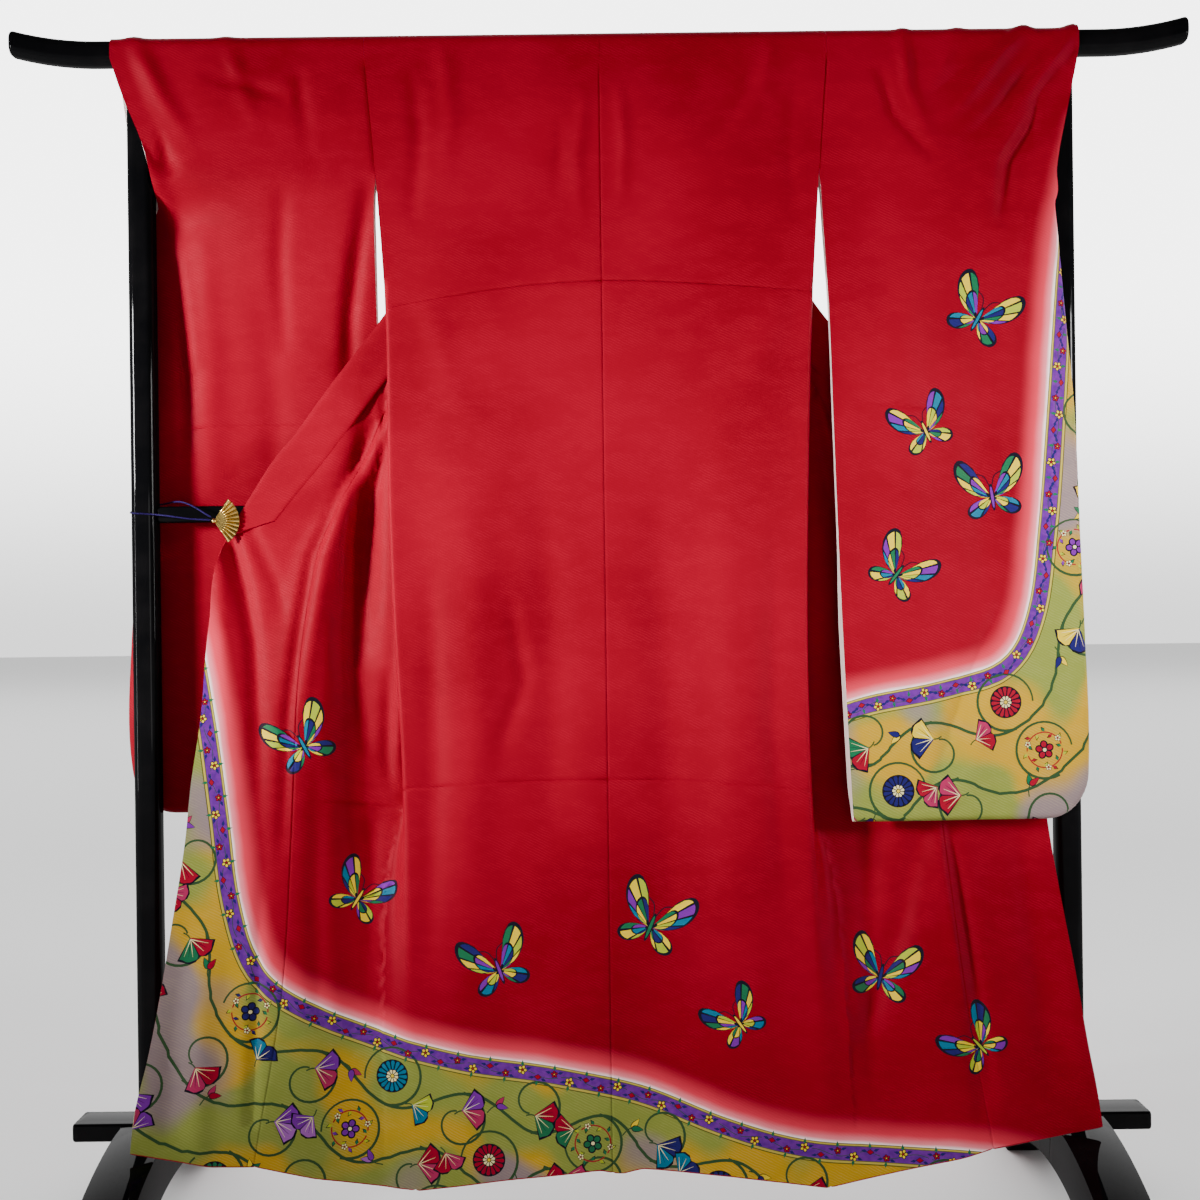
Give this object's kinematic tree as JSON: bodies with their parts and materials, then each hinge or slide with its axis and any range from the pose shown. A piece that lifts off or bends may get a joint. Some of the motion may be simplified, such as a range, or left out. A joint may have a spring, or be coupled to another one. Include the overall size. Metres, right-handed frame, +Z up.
{
  "type": "furisode on kimono stand",
  "caption": "Long-sleeved silk kimono hung open over a free-standing lacquered kimono stand, back to the viewer.",
  "frame": {"origin": "on the floor, midway between the two feet of the stand, under the garment's centre seam", "axes": "+Z up, +X along the stand's bar to the viewer's right, +Y away from the viewer; the back faces -Y"},
  "size_m": [1.645, 0.66, 1.6554],
  "materials": {
    "silk": "figured silk crepe, soft sheen",
    "collar_silk": "folded silk crepe, soft sheen",
    "lacquer": "black gloss lacquer",
    "gilt": "polished gilt",
    "cord": "twisted silk cord"
  },
  "bodies": {
    "root": {"top_bar": "lacquer", "post_left": "lacquer", "post_right": "lacquer", "mid_bar": "lacquer", "base_board": "lacquer", "foot_left": "lacquer", "foot_right": "lacquer", "body_left": "silk", "okumi_left": "silk", "sleeve_left": "silk", "body_right": "silk", "okumi_right": "silk", "sleeve_right": "silk", "collar": "collar_silk", "clip_fan_left": "gilt", "clip_jaw_left": "gilt", "clip_pin_left": "gilt", "clip_cord_left": "cord", "clip_fan_right": "gilt", "clip_jaw_right": "gilt", "clip_pin_right": "gilt", "clip_cord_right": "cord"}
  },
  "joints": []
}
